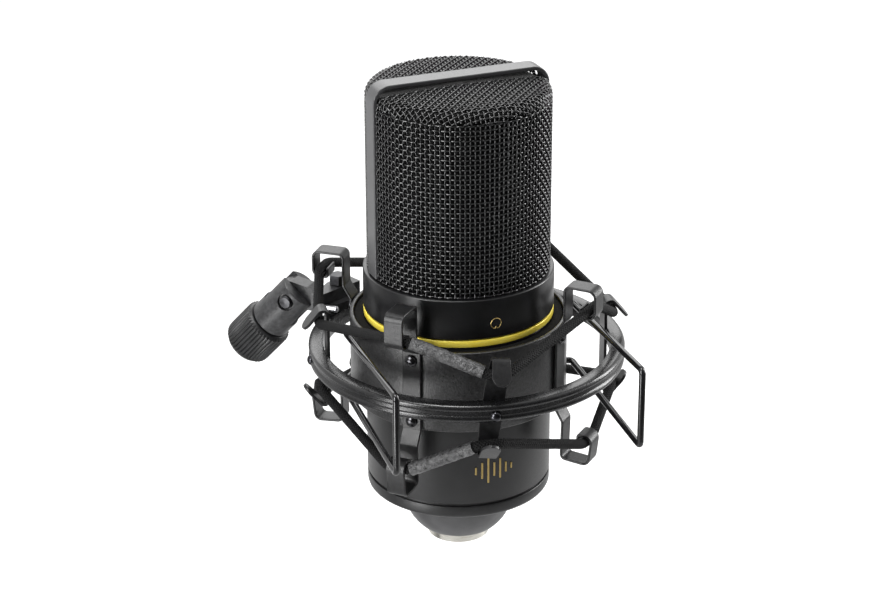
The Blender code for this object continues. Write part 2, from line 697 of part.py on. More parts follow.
def build_arm(ring):
    cast = material("arm_grey", (0.07, 0.07, 0.075), 0.5, 0.2)
    bright = material("screw_steel", (0.6, 0.6, 0.62), 0.3, 1.0)
    dark = material("bolt_dark", (0.12, 0.12, 0.13), 0.35, 0.8)
    frame = empty("arm_frame", ring, turn=(0, 0, heading(ARM_BEARING)))
    zero = RING_MIDDLE
    under = RING_HALF + GAP
    arm = put("swivel_arm", plate("swivel_arm", BLOCK, under, ARM_TOP - zero), cast, frame)
    foot = plate("foot", FOOT, under, FLANGE_TOP - zero)
    boolean(arm, cutter("foot", foot, frame), 'UNION')
    high = PIVOT_HEIGHT - zero
    tongue = [(48.8, under + 0.2), (52.8, under + 0.2), (PIVOT_RADIUS, high - ARM_ROUND)]
    tongue += arc((PIVOT_RADIUS, high), ARM_ROUND, -75, 90, 11)
    tongue += [(52.4, high + 4.6), (48.8, ARM_TOP - zero - 0.2)]
    boolean(arm, cutter("tongue", prism("tongue", tongue, TONGUE_THICK / 2), frame), 'UNION')
    pivot_hole = along_y(rod_mesh("pivot_hole", 1.8, 16, 16))
    boolean(arm, cutter("pivot_hole", pivot_hole, frame, (PIVOT_RADIUS, -8, high)))
    bolt_hole = rod_mesh("bolt_hole", 1.5, 8, 12)
    boolean(arm, cutter("bolt_hole", bolt_hole, frame, BOLT_PLACE + Vector((0, 0, under - 0.5))))
    place = SCREW_PLACE + Vector((0, 0, SCREW_HEIGHT - zero))
    screw_hole = along_x(rod_mesh("screw_hole", 1.0 + GAP, 3.7, 14))
    boolean(arm, cutter("screw_hole", screw_hole, frame, place + Vector((3.0, 0, 0))))
    pin = [(0.0, 0.0), (0.6, 0.0), (1.0, 0.4), (1.0, 6.2), (0.0, 6.2)]
    put("arm_screw", along_x(turned("arm_screw", pin, 16)), bright, frame, place)
    hexagon = [(0.0, -5.8), (1.2, -5.8), (1.2, 0.0), (2.9, 0.0), (2.9, 2.4), (2.5, 2.8), (0.0, 2.8)]
    place = BOLT_PLACE + Vector((0, 0, ARM_TOP - zero + GAP))
    put("arm_bolt", turned("arm_bolt", hexagon, 6), dark, frame, place)


def build_adapter(yoke_axis):
    """Yoke, pivot screw and ribbed nut; local +X runs down the adapter's axis."""
    cast = material("yoke_grey", (0.09, 0.09, 0.095), 0.45, 0.2)
    ribbed = material("nut_grey", (0.06, 0.06, 0.063), 0.5, 0.1)
    bright = material("pivot_steel", (0.35, 0.35, 0.37), 0.3, 1.0)
    barrel = [(0.0, YOKE_START), (YOKE_RADIUS - 0.3, YOKE_START), (YOKE_RADIUS, YOKE_START + 0.3),
              (YOKE_RADIUS, YOKE_END - 0.4), (YOKE_RADIUS - 0.4, YOKE_END), (4.4, YOKE_END),
              (4.4, NUT_START + 2.6), (0.0, NUT_START + 2.6)]
    yoke = put("yoke", along_x(turned("yoke", barrel, 56)), cast, yoke_axis)
    slot = box("yoke_slot", (YOKE_START - 2, -TONGUE_THICK / 2 - GAP, -9),
               (SLOT_END, TONGUE_THICK / 2 + GAP, 9))
    boolean(yoke, cutter("yoke_slot", slot, yoke_axis))
    screw_hole = along_y(rod_mesh("yoke_hole", 1.8, 18, 16))
    boolean(yoke, cutter("yoke_hole", screw_hole, yoke_axis, (0, -9, 0)))
    for side, name in ((1, "head_recess"), (-1, "nut_recess")):
        recess = along_y(rod_mesh(name, 2.8, 4, 18))
        boolean(yoke, cutter(name, recess, yoke_axis, (0, 5.2 if side > 0 else -9.2, 0)))
    screw = [(0.0, -12.9), (1.5, -12.9), (1.5, 0.0), (2.2, 0.0), (2.2, 0.7), (1.7, 1.2), (0.0, 1.3)]
    put("pivot_screw", along_y(turned("pivot_screw", screw, 16)), bright, yoke_axis, (0, 5.5, 0))
    nut = [(1.8, 0.0), (2.5, 0.0), (2.5, 1.4), (1.8, 1.4)]
    put("pivot_nut", along_y(revolve("pivot_nut", nut, 6)), bright, yoke_axis, (0, -6.9, 0))
    put("knurled_nut", knurled_nut(), ribbed, yoke_axis)


def knurled_nut():
    """A threaded sleeve whose outside is a row of ribs."""
    bm = bmesh.new()
    rows = []
    stops = NUT_RIBS * 2
    for i in range(stops):
        angle = 2 * math.pi * i / stops
        ray = Vector((0.0, math.cos(angle), math.sin(angle)))
        outer = NUT_RADIUS - (0.45 if i % 2 else 0.0)
        outline = [(THREAD_RADIUS, NUT_START), (6.9, NUT_START), (outer, NUT_START + 0.7),
                   (outer, NUT_END - 1.3), (6.6, NUT_END), (THREAD_RADIUS + 0.3, NUT_END),
                   (THREAD_RADIUS, NUT_END - 0.4)]
        rows.append([bm.verts.new((ray * r + Vector((x, 0, 0))) * MM) for r, x in outline])
    skin_rows(bm, rows, True, True)
    return finish_mesh("knurled_nut", bm)


# ---- assembly ------------------------------------------------------------------------
def socket_mouth():
    tilt = math.radians(STAND_TILT)
    reach = PIVOT_RADIUS + NUT_END * math.cos(tilt)
    place = ring_centre() + toward(ARM_BEARING, reach)
    place.z = PIVOT_HEIGHT - NUT_END * math.sin(tilt)
    return place


CUT_MATERIAL = None


def main():
    global CUT_MATERIAL
    clear_scene()
    CUT_MATERIAL = material("cutter", (1.0, 0.2, 0.1), 0.5)
    mic = empty("microphone", place=-socket_mouth())
    build_grille(mic)
    build_body(mic)
    build_connector(mic)
    build_inside(mic)
    cradle = empty("cradle", mic, (0, 0, CRADLE_MIDDLE))
    build_band(cradle, build_straps(cradle))
    build_handles(cradle)
    ring = empty("ring", mic, ring_centre() + Vector((0, 0, RING_MIDDLE)))
    build_ring(ring)
    build_cords(mic)
    build_arm(ring)
    pivot = toward(ARM_BEARING, PIVOT_RADIUS) + Vector((0, 0, PIVOT_HEIGHT - RING_MIDDLE))
    build_adapter(empty("adapter_axis", ring, pivot, (0, STAND_TILT, heading(ARM_BEARING))))


main()
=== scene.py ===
"""The look of a condenser microphone in its spider shock mount.

Sizes are in millimetres, in the microphone's own frame: the origin is the
centre of the connector's rim, +Z runs up the microphone's axis and -Y is its
front.  A bearing is an angle about that axis from the front towards +X.
"""
import math

import bmesh
import bpy
from mathutils import Matrix, Vector


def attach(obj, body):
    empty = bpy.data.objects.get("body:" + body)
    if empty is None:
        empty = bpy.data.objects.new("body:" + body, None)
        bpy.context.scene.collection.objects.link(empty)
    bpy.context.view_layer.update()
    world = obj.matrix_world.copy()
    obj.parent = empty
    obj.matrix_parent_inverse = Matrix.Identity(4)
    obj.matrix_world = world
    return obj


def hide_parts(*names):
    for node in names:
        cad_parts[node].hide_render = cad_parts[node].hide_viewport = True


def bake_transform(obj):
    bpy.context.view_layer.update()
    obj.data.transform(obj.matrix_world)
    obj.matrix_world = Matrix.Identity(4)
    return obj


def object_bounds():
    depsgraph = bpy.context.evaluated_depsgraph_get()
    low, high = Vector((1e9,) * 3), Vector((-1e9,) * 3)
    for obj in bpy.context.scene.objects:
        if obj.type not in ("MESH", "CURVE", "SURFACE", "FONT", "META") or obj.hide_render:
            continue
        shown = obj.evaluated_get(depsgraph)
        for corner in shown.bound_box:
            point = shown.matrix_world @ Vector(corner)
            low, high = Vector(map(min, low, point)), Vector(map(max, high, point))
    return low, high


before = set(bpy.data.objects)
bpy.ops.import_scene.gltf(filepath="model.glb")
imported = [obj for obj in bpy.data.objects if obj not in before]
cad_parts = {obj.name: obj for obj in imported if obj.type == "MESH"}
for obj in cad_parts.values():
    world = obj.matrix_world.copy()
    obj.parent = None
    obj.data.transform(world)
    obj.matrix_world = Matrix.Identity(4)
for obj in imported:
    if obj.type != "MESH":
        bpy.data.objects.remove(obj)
CAD_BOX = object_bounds()

MM = 0.001
GAP = 0.3                                         # between neighbouring solids
MIC = Vector((50.862, -52.163, -49.684)) * MM     # the connector's rim, in the shared frame

# microphone, from the top down
FRAME_TOP = 148.7
FRAME_RADIUS = 27.5
FRAME_WIDTH = 6.3
FRAME_THICK = 1.2
FRAME_BEND = 4.6
GRILLE_RADIUS = 27.1
GRILLE_TOP = 146.0
SHOULDER = 3.2
DOME_RISE = 0.6
DOME_SLOPE = 0.07             # the dome's slope at its edge
WEAVE_PITCH = 1.45
WEAVE_WIRE = 0.27             # a wire's radius
WEAVE_RISE = 0.95             # how far a wire rises over its neighbour, in wire radii
WEAVE_FRAME_CLEAR = 0.25
WEAVE_FOOT_CLEAR = 0.35
WEAVE_TOP_CLEAR = 0.2
WEAVE_OVERLAP = 0.4           # how far the dome's weave reaches down past the shoulder
COLLAR_RADIUS = 28.5
COLLAR_INNER = 25.5
COLLAR_TOP = 89.3
COLLAR_BOTTOM = 77.0
GOLD_BOTTOM = 74.6
GOLD_INNER = 26.4
BODY_RADIUS = 27.9
BODY_INNER = 26.5
BODY_BOTTOM = 23.1
BASE_BOTTOM = 18.2
BASE_INNER = 18.6
BASE_NECK = 27.2
BASE_ROUND = 1.4
BASE_RIM = 0.9                # from the base's neck down to its rim
CONE_INNER = 9.8
CONE_TOP = 22.0
# radius and height of the connector cone's outside
CONE_CURVE = [(10.9, 3.2), (11.5, 3.35), (12.1, 3.7), (13.0, 4.6), (13.9, 5.6), (14.8, 6.9),
              (15.6, 8.4), (16.5, 10.5), (17.2, 12.8), (17.8, 15.1), (18.3, 17.5)]
SHELL_INNER = 8.4
SHELL_OUTER = 9.5
SHELL_TOP = 20.0

# gold marks on the microphone's front
INK_PROUD = 0.01
SIGN_HEIGHT = 81.55
SIGN_RADIUS = 1.6
SIGN_LINE = 0.12
SIGN_NOTCH = [(0.1, 80.75), (0.16, 80.3), (0.34, 80.02)]
WAVE_HEIGHT = 34.0
WAVE_STEP = 1.9
WAVE_LINE = 0.3
WAVE_BARS = (1.2, 2.6, 4.2, 2.2, 3.2, 1.6, 0.9)     # half heights

# cradle
CRADLE_MIDDLE = 62.0
BAND_RADIUS = 32.6
BAND_THICK = 1.2
BAND_HALF = 12.7
BAND_GAP_DEG = 18.0
BAND_GAP_BEARING = 178.6
STRAP_RADIUS = 33.3
STRAP_WIDTH = 5.9
STRAP_THICK = 0.8
HOOK_INNER = 35.7
HOOK_OUTER = 45.3
HOOK_LIP = 40.7
LIP_RISE = 3.0
HOOK_BENDS = [0.8, 2.2, 2.0, 1.6, 1.2, 1.2]         # from the lip in to the band
FOOT_LEAN = 1.1               # how far the lower hook's outer leg leans out
FOOT_SLOPE = 0.3
STRAP_FLAT = 12.4             # half of the straight part on the band
STRAP_STEP = 16.4             # where the strap has stepped out to its hooks
# bearing, upper hook's top and seat, lower hook's seat and bottom, lower hook's lean
STRAPS = {
    "front_left": (-46.4, 28.2, 18.0, -18.5, -29.0, 0.0),
    "front_right": (41.5, 27.4, 18.6, -19.5, -28.7, 0.0),
    "rear_right": (128.0, 27.8, 19.7, -20.4, -29.2, 0.5),
    "rear_left": (-130.0, 26.5, 18.6, -19.0, -29.5, 1.4),
}
RIVET_OFFSET = 9.7
RIVET_HEAD = 1.8
RIVET_RISE = 1.25
RIVET_PIN = 0.9
RIVET_DEPTH = 2.0
HANDLE_BEARING = -4.2
# side, and how far the loop's end lies sideways of the axis and forwards
HANDLES = {"handle_left": (-1, 35.2, 51.4), "handle_right": (1, 36.5, 56.6)}
HANDLE_PIVOT = 33.2
HANDLE_HOLE = 9.6
HANDLE_SPREAD = 12.0
HANDLE_INSIDE = 0.9           # how far the wire's ends reach in past the band's face
HANDLE_WIRE = 1.0
HANDLE_BEND = 1.7

# ring
RING_MIDDLE = 63.3
RING_RADIUS = 47.5
RING_INNER = 43.0
RING_HALF = 2.8
RING_EDGE = 0.6
RING_CORNER = 0.2
RIDGE_RADIUS = 1.15
RIDGE_OFFSET = 1.55
RING_RIVET_HEAD = 1.6
RING_RIVET_RISE = 1.8
RING_RIVET_DROP = 0.9
RING_RIVET_SINK = 1.0
BRACKET_RADIUS = 42.1
BRACKET_HALF = 17.9
BRACKET_MIDDLE = 6.0
BRACKET_SWELL = 2.0           # how much wider the strip is at its middle
BRACKET_THICK = 0.9
BEND_RADIUS = 1.5
BEND_REACH = 4.1
TONGUE_WIDTH = 5.3
TONGUE_TIP = 49.3
TONGUE_DROP = 8.6
TONGUE_STEPS = (0.12, 0.35, 0.7, 1.2, 1.8, TONGUE_WIDTH / 2)     # down from the round tip
TIP_WIDTH = 0.8
# bearing, lean to the side, lift above the ring's middle, upper and lower cord's height
BRACKETS = {
    "front": (-12.4, -7.5, 0.0, 74.4, 52.4),
    "right": (77.6, 0.0, -3.0, 71.9, 48.7),
    "rear": (167.6, 0.0, -2.5, 72.4, 49.3),
    "left": (-102.4, 0.0, 0.3, 75.0, 53.6),
}

# cords
CORD_RADIUS = 1.5
CORD_ORDER = ("front_right", "rear_right", "rear_left", "front_left")
CORD_HOOK_RADIUS = 43.0
CORD_ON_SEAT = 2.2
CORD_RING_RADIUS = 44.5
HOOK_GUIDE = 3.5
BRACKET_GUIDE = 2.7
CORD_BEND = 1.6
CORD_STEP = 1.2
SLEEVE_OUTER = 1.95
SLEEVE_STEPS = 60
SLEEVE_START = 0.8
SLEEVE_END = 2.0

# adapter
ARM_BEARING = -136.4
PIVOT_RADIUS = 58.0
PIVOT_HEIGHT = 69.6
STAND_TILT = 48.0
NUT_RADIUS = 7.9
NUT_START = 13.4
NUT_END = 26.8
NUT_BORE = 4.76
NUT_RIBS = 40
RIB_DEPTH = 0.5
RIB_STEPS = 8


def toward(bearing, distance=1.0, height=0.0):
    """The point at a distance and a height, out from the axis along a bearing."""
    angle = math.radians(bearing)
    return Vector((distance * math.sin(angle), -distance * math.cos(angle), height))


def heading(bearing):
    """The turn about Z that points local +X along a bearing."""
    return math.radians(bearing - 90.0)


RING_CENTRE = toward(28.0, 3.2)


# ---- materials -----------------------------------------------------------------------
class Shader:
    """A small builder of procedural materials."""

    def __init__(self, name):
        self.mat = bpy.data.materials.new(name)
        self.mat.use_nodes = True
        self.tree = self.mat.node_tree
        self.out = self.tree.nodes["Principled BSDF"]
        self.coords = self.tree.nodes.new("ShaderNodeTexCoord")

    def set(self, **values):
        for key, value in values.items():
            socket = self.out.inputs[key.replace("_", " ")]
            socket.default_value = value
        return self

    def link(self, a, b):
        self.tree.links.new(a, b)

    def noise(self, scale, detail, stretch=(1, 1, 1)):
        place = self.tree.nodes.new("ShaderNodeMapping")
        place.inputs["Scale"].default_value = stretch
        self.link(self.coords.outputs["Object"], place.inputs["Vector"])
        node = self.tree.nodes.new("ShaderNodeTexNoise")
        node.inputs["Scale"].default_value = scale
        node.inputs["Detail"].default_value = detail
        node.inputs["Roughness"].default_value = 0.55
        self.link(place.outputs["Vector"], node.inputs["Vector"])
        return node.outputs["Fac"]

    def ramp(self, value, stops):
        node = self.tree.nodes.new("ShaderNodeValToRGB")
        ramp = node.color_ramp
        while len(ramp.elements) < len(stops):
            ramp.elements.new(0.5)
        for element, (at, colour) in zip(ramp.elements, stops):
            element.position = at
            level = colour if isinstance(colour, tuple) else (colour,) * 3
            element.color = (*level, 1.0)
        self.link(value, node.inputs["Fac"])
        return node.outputs["Color"]

    def math(self, kind, a, b):
        node = self.tree.nodes.new("ShaderNodeMath")
        node.operation = kind
        for socket, value in zip(node.inputs, (a, b)):
            if isinstance(value, (int, float)):
                socket.default_value = value
            else:
                self.link(value, socket)
        return node.outputs[0]

    def colour(self, value, stops):
        self.link(self.ramp(value, stops), self.out.inputs["Base Color"])
        return self

    def roughness(self, value, low, high):
        node = self.tree.nodes.new("ShaderNodeMapRange")
        node.inputs["To Min"].default_value = low
        node.inputs["To Max"].default_value = high
        self.link(value, node.inputs["Value"])
        self.link(node.outputs[0], self.out.inputs["Roughness"])
        return self

    def bump(self, height, distance):
        """Add a bump of a height in mm on top of any bump that is there already."""
        node = self.tree.nodes.new("ShaderNodeBump")
        node.inputs["Distance"].default_value = distance * MM
        node.inputs["Strength"].default_value = 1.0
        self.link(height, node.inputs["Height"])
        before = self.out.inputs["Normal"]
        if before.is_linked:
            self.link(before.links[0].from_socket, node.inputs["Normal"])
        self.link(node.outputs["Normal"], before)
        return self


def paint(name, dark, light, rough, grain=0.5, depth=0.03, specular=0.5, patch=6.0, spread=0.22):
    """Sprayed paint: patchy colour, uneven gloss and a fine orange peel; sizes in mm."""
    s = Shader(name).set(Specular_IOR_Level=specular)
    s.colour(s.noise(1.0 / (patch * MM), 5.0), [(0.52 - spread, dark), (0.52 + spread, light)])
    s.roughness(s.noise(1.0 / (2.5 * grain * MM), 3.0), rough - 0.07, rough + 0.1)
    s.bump(s.noise(1.0 / (grain * MM), 2.0), depth)
    return s


def metal(name, dark, light, rough, stretch=(1, 1, 1), depth=0.01):
    """Bare or plated metal with faint turning or brushing marks."""
    s = Shader(name).set(Metallic=1.0)
    s.colour(s.noise(240.0, 4.0, stretch=stretch), [(0.3, dark), (0.75, light)])
    s.roughness(s.noise(900.0, 3.0, stretch=stretch), rough - 0.05, rough + 0.08)
    s.bump(s.noise(1500.0, 2.0, stretch=stretch), depth)
    return s


def braid(name, dark, light, across, along):
    """Woven cord cover; U runs round the cord and V along it."""
    s = Shader(name).set(Roughness=0.7, Specular_IOR_Level=0.25)
    split = s.tree.nodes.new("ShaderNodeSeparateXYZ")
    s.link(s.coords.outputs["UV"], split.inputs[0])
    u = s.math("MULTIPLY", split.outputs[0], 2 * math.pi * across)
    v = s.math("MULTIPLY", split.outputs[1], along)
    one = s.math("SINE", s.math("ADD", u, v), 0.0)
    two = s.math("SINE", s.math("SUBTRACT", u, v), 0.0)
    height = s.math("MAXIMUM", one, two)
    # painted shade and highlight: the colour is darker down in the weave's grooves and lighter on its
    # crests
    s.colour(height, [(0.0, dark), (1.0, light)])
    s.bump(height, 0.3)
    s.bump(s.noise(3500.0, 2.0), 0.12)
    return s


GRILLE_WIRE = paint("grille_wire", (0.002, 0.002, 0.002), (0.006, 0.006, 0.007), 0.17, 0.3, 0.02, 0.9)
SCREEN = paint("inner_mesh", (0.001, 0.001, 0.001), (0.003, 0.003, 0.003), 0.6, 0.35, 0.12, 0.2)
BAR_PAINT = paint("bar_satin", (0.03, 0.03, 0.031), (0.045, 0.045, 0.047), 0.3, 0.25, 0.006, 0.7)
COLLAR_PAINT = paint("collar_satin", (0.003, 0.003, 0.003), (0.006, 0.006, 0.007), 0.3, 0.22, 0.006)
BODY_PAINT = paint("body_satin", (0.007, 0.007, 0.0075), (0.012, 0.012, 0.0125), 0.36, 0.22, 0.012)
GOLD = metal("gold_plate", (1.0, 0.74, 0.05), (1.0, 0.88, 0.16), 0.24, (1, 1, 8), 0.012)
GOLD.set(Metallic=0.15)       # shown by its colour: the studio gives it little to mirror
GOLD_INK = metal("gold_ink", (0.5, 0.36, 0.13), (0.62, 0.47, 0.2), 0.4)
CONE = paint("connector_grey", (0.03, 0.03, 0.031), (0.045, 0.045, 0.047), 0.36, 0.3, 0.008)
SILVER = metal("nickel_plate", (0.6, 0.58, 0.52), (0.8, 0.78, 0.72), 0.2, (1, 1, 6))
INSERT = paint("insert_black", (0.006, 0.006, 0.006), (0.012, 0.012, 0.012), 0.5, 0.4, 0.02)
STRAP = paint("strap_powder", (0.003, 0.003, 0.003), (0.016, 0.016, 0.017), 0.3, 0.4, 0.06, 0.4, 1.1, 0.3)
BAND = paint("band_powder", (0.003, 0.003, 0.003), (0.024, 0.024, 0.025), 0.3, 0.4, 0.11, 0.85, 0.7, 0.16)
RING_PAINT = paint("ring_satin", (0.003, 0.003, 0.003), (0.008, 0.008, 0.009), 0.24, 0.4, 0.02, 0.6, 2.2)
RIVET = metal("rivet_dark", (0.04, 0.04, 0.043), (0.12, 0.12, 0.125), 0.2)
RING_RIVET = metal("ring_rivet", (0.03, 0.03, 0.033), (0.1, 0.1, 0.11), 0.25)
FOAM = paint("foam_black", (0.001, 0.001, 0.001), (0.004, 0.004, 0.004), 0.85, 0.6, 0.2, 0.2)
WIRE = paint("handle_gloss", (0.003, 0.003, 0.003), (0.007, 0.007, 0.008), 0.14, 0.8, 0.015, 0.6)
# the cord's dark tone is painted shade in the braid's grooves and its light tone a painted highlight on the
# crests
CORD = braid("cord_braid", (0.0005, 0.0005, 0.0005), (0.008, 0.008, 0.0085), 8, 7400.0)
SLEEVE = paint("sleeve_grey", (0.004, 0.004, 0.004), (0.09, 0.09, 0.092), 0.28, 0.4, 0.3, 0.7, 1.3, 0.2)
ARM_PAINT = paint("arm_cast", (0.006, 0.006, 0.006), (0.03, 0.03, 0.032), 0.34, 0.4, 0.06, 0.5, 1.6)
YOKE_PAINT = paint("yoke_cast", (0.012, 0.012, 0.0125), (0.045, 0.045, 0.047), 0.34, 0.4, 0.05, 0.5, 1.2)
NUT_PAINT = paint("nut_satin", (0.006, 0.006, 0.006), (0.018, 0.018, 0.019), 0.36, 0.4, 0.03)
STEEL = metal("screw_steel", (0.5, 0.5, 0.52), (0.7, 0.7, 0.72), 0.28)
DARK_STEEL = metal("bolt_dark", (0.03, 0.03, 0.032), (0.08, 0.08, 0.085), 0.35)
PIVOT_STEEL = metal("pivot_dark", (0.03, 0.03, 0.032), (0.1, 0.1, 0.105), 0.3)
CHASSIS = metal("chassis_steel", (0.45, 0.45, 0.47), (0.62, 0.62, 0.64), 0.4)
BOARD = paint("board_green", (0.01, 0.12, 0.05), (0.02, 0.2, 0.08), 0.4)
FILM = metal("diaphragm_gold", (0.8, 0.6, 0.22), (0.95, 0.75, 0.35), 0.2)
BRASS = metal("capsule_brass", (0.4, 0.3, 0.14), (0.55, 0.42, 0.2), 0.35)
CAPACITOR = paint("capacitor_film", (0.5, 0.32, 0.04), (0.65, 0.45, 0.08), 0.4)


# ---- mesh helpers -----------------------------------------------------------------------
def finish_mesh(name, bm, sharp=35.0):
    """A smooth-shaded mesh that keeps its edges over an angle in degrees."""
    bmesh.ops.recalc_face_normals(bm, faces=bm.faces)
    mesh = bpy.data.meshes.new(name)
    bm.to_mesh(mesh)
    bm.free()
    mesh.shade_smooth()
    mesh.set_sharp_from_angle(angle=math.radians(sharp))
    return mesh


def add(name, mesh, shader, body, replaces=(), bearing=None, centre=(0, 0, 0), tilt=0.0):
    """Place a mesh, local +X along its bearing, and say what it rides and stands for."""
    mesh.materials.clear()
    mesh.materials.append(shader.mat)
    item = bpy.data.objects.new(name, mesh)
    bpy.context.collection.objects.link(item)
    item.location = MIC + Vector(centre) * MM
    if bearing is not None:
        item.rotation_euler = (0.0, math.radians(tilt), heading(bearing))
    if body:
        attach(item, body)
    if replaces:
        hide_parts(*replaces)
    return item


def bevel(item, width, segments, angle=40.0):
    modifier = item.modifiers.new("Bevel", 'BEVEL')
    modifier.width = width * MM
    modifier.segments = segments
    modifier.limit_method = 'ANGLE'
    modifier.angle_limit = math.radians(angle)
    modifier.harden_normals = True


def lathe(name, outline, segments=160, start=0.0, sweep=360.0):
    """A solid turned about Z from a closed outline of (radius, height) points."""
    bm = bmesh.new()
    whole = sweep >= 360.0
    rows = []
    for i in range(segments if whole else segments + 1):
        ray = toward(start + sweep * i / segments)
        rows.append([bm.verts.new((ray * r + Vector((0, 0, z))) * MM) for r, z in outline])
    for i in range(segments):
        here, there = rows[i], rows[(i + 1) % len(rows)]
        for j in range(len(outline)):
            k = (j + 1) % len(outline)
            if outline[j][0] == 0.0 and outline[k][0] == 0.0:
                continue
            bm.faces.new([here[j], here[k], there[k], there[j]])
    if not whole:
        bm.faces.new(rows[0])
        bm.faces.new(rows[-1])
    bmesh.ops.remove_doubles(bm, verts=bm.verts, dist=1e-7)
    bmesh.ops.dissolve_degenerate(bm, edges=bm.edges, dist=1e-8)
    return finish_mesh(name, bm)


def arc(centre, radius, start, end, steps):
    """Points along a circle between two angles in degrees."""
    points = []
    for i in range(steps + 1):
        angle = math.radians(start + (end - start) * i / steps)
        points.append((centre[0] + radius * math.cos(angle), centre[1] + radius * math.sin(angle)))
    return points


def rounded_box(r0, r1, z0, z1, radius):
    """A tube's section with its four corners rounded."""
    steps = 4
    points = []
    points += arc((r1 - radius, z0 + radius), radius, -90, 0, steps)
    points += arc((r1 - radius, z1 - radius), radius, 0, 90, steps)
    points += arc((r0 + radius, z1 - radius), radius, 90, 180, steps)
    points += arc((r0 + radius, z0 + radius), radius, 180, 270, steps)
    return points


def rounded(points, radii, steps):
    """A path through points with its inner corners rounded; radius 0 keeps a corner."""
    path = [Vector(points[0])]
    for i, radius in enumerate(radii, start=1):
        before, corner, after = (Vector(points[k]) for k in (i - 1, i, i + 1))
        if not radius:
            path.append(corner)
            continue
        inward, outward = (before - corner).normalized(), (after - corner).normalized()
        angle = inward.angle(outward)
        reach = radius / math.tan(angle / 2)
        start, end = corner + inward * reach, corner + outward * reach
        middle = corner + (inward + outward).normalized() * (radius / math.sin(angle / 2))
        for step in range(steps + 1):
            ray = (start - middle).normalized().slerp((end - middle).normalized(), step / steps)
            path.append(middle + ray * radius)
    path.append(Vector(points[-1]))
    return path


def ribbon(name, path, width, thick):
    """A bent sheet strip: path in local XZ, width along local Y."""
    bm = bmesh.new()
    rows = []
    for i, point in enumerate(path):
        along = (path[min(i + 1, len(path) - 1)] - path[max(i - 1, 0)]).normalized()
        side = Vector((-along.z, 0.0, along.x)) * (thick / 2)
        half = Vector((0.0, width(i) / 2, 0.0))
        corners = [point + side + half, point - side + half, point - side - half, point + side - half]
        rows.append([bm.verts.new(c * MM) for c in corners])
    for here, there in zip(rows, rows[1:]):
        for j in range(4):
            k = (j + 1) % 4
            bm.faces.new([here[j], here[k], there[k], there[j]])
    bm.faces.new(rows[0])
    bm.faces.new(rows[-1])
    return finish_mesh(name, bm)


def sweep_into(bm, path, radius, sides, uv=None, shape=None):
    """Sweep a round section along a path of points, keeping its twist small.

    The UV runs round the section from 0 to 1 and along the path in metres.  The
    shape, if there is one, swells the section by (distance along, angle round).
    """
    frames = []
    normal = None
    for i, point in enumerate(path):
        along = (path[min(i + 1, len(path) - 1)] - path[max(i - 1, 0)]).normalized()
        if normal is None:
            normal = along.orthogonal().normalized()
        normal = (normal - along * normal.dot(along)).normalized()
        frames.append((point, normal, along.cross(normal)))
    rows = []
    length = 0.0
    lengths = []
    for i, (point, n, b) in enumerate(frames):
        if i:
            length += (point - frames[i - 1][0]).length
        lengths.append(length)
        row = []
        for k in range(sides):
            angle = 2 * math.pi * k / sides
            reach = radius * (shape(length, angle) if shape else 1.0)
            row.append(bm.verts.new((point + (n * math.cos(angle) + b * math.sin(angle)) * reach) * MM))
        rows.append(row)
    for i in range(len(rows) - 1):
        for k in range(sides):
            m = (k + 1) % sides
            face = bm.faces.new([rows[i][k], rows[i][m], rows[i + 1][m], rows[i + 1][k]])
            if uv is not None:
                turn = (k / sides, (k + 1) / sides, (k + 1) / sides, k / sides)
                run = (lengths[i], lengths[i], lengths[i + 1], lengths[i + 1])
                for loop, s, t in zip(face.loops, turn, run):
                    loop[uv].uv = (s, t * MM)
    bm.faces.new(rows[0])
    bm.faces.new(rows[-1])


def soften(points, reach, steps):
    """Round the corners of an open path of points with short curves."""
    path = [points[0]]
    for before, corner, after in zip(points, points[1:], points[2:]):
        start = corner + (before - corner).normalized() * reach
        end = corner + (after - corner).normalized() * reach
        for step in range(steps + 1):
            t = step / steps
            path.append(start * (1 - t) ** 2 + corner * (2 * t * (1 - t)) + end * t * t)
    path.append(points[-1])
    return path


# ---- grille --------------------------------------------------------------------------------
def profile(distance):
    """(radius, height, outward normal's radial and up parts) at a distance over the dome."""
    flat = GRILLE_RADIUS - SHOULDER
    if distance <= flat:
        rise = DOME_RISE * (1 - (distance / flat) ** 2)
        return distance, GRILLE_TOP + rise, DOME_SLOPE * distance / flat, 1.0
    angle = (distance - flat) / SHOULDER
    if angle <= math.pi / 2:
        radius = flat + SHOULDER * math.sin(angle)
        return radius, GRILLE_TOP - SHOULDER * (1 - math.cos(angle)), math.sin(angle), math.cos(angle)
    drop = (angle - math.pi / 2) * SHOULDER
    return GRILLE_RADIUS, GRILLE_TOP - SHOULDER - drop, 1.0, 0.0


def on_dome(u, v, lift):
    """The point of the dome that a flat sheet's point (u, v) is pressed on to."""
    distance = max(math.hypot(u, v), 1e-6)
    radius, height, outward, up = profile(distance)
    ray = Vector((u / distance, v / distance, 0.0))
    return ray * (radius - WEAVE_WIRE + lift * outward) + Vector((0, 0, height - WEAVE_WIRE + lift * up))


def on_wall(along, height, lift):
    """The point of the wall at a distance along its round and a height."""
    angle = along / GRILLE_RADIUS
    ray = Vector((math.sin(angle), -math.cos(angle), 0.0))
    return ray * (GRILLE_RADIUS - WEAVE_WIRE + lift) + Vector((0, 0, height))


def runs(points):
    """Split a list that holds None where a wire is cut."""
    out, run = [], []
    for point in points + [None]:
        if point is None:
            if len(run) > 2:
                out.append(run)
            run = []
        else:
            run.append(point)
    return out


